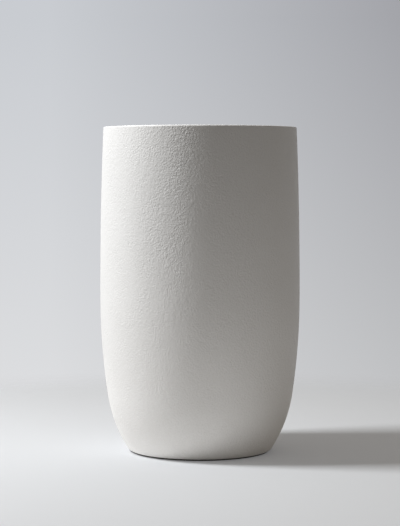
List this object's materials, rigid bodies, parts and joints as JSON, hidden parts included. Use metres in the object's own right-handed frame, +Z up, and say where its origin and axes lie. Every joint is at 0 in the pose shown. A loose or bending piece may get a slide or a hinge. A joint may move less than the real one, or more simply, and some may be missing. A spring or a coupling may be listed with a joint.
{
  "type": "tall floor vase",
  "caption": "Tall round floor vase of coated sheet metal with a gently bulged wall, a wired rim, a small recessed foot ring and a drain with a pull-out plug.",
  "frame": {"origin": "centre of the foot on the floor", "axes": "+Z up along the axis of the round body"},
  "size_m": [0.37, 0.37, 0.6],
  "materials": {
    "coated_sheet": "matt off-white mineral coat with a fine stipple",
    "inside_sheet": "matt sealing paint, smoother than the outside",
    "rim_steel": "drawn wire, enclosed in the rim",
    "sealant": "satin tooled bead",
    "foot_rubber": "matt",
    "plug_rubber": "matt"
  },
  "bodies": {
    "vessel": {"upper_shell": "coated_sheet", "lower_shell": "coated_sheet", "girth_band": "inside_sheet", "rim_wire": "rim_steel", "base_plate": "inside_sheet", "base_seal": "sealant", "foot_ring": "foot_rubber"},
    "drain_plug": {"drain_plug": "plug_rubber"}
  },
  "joints": [
    {"name": "plug_lift", "type": "slide", "parent": "vessel", "child": "drain_plug", "axis": [0, 0, 1], "range_m": [0, 0.62]}
  ]
}
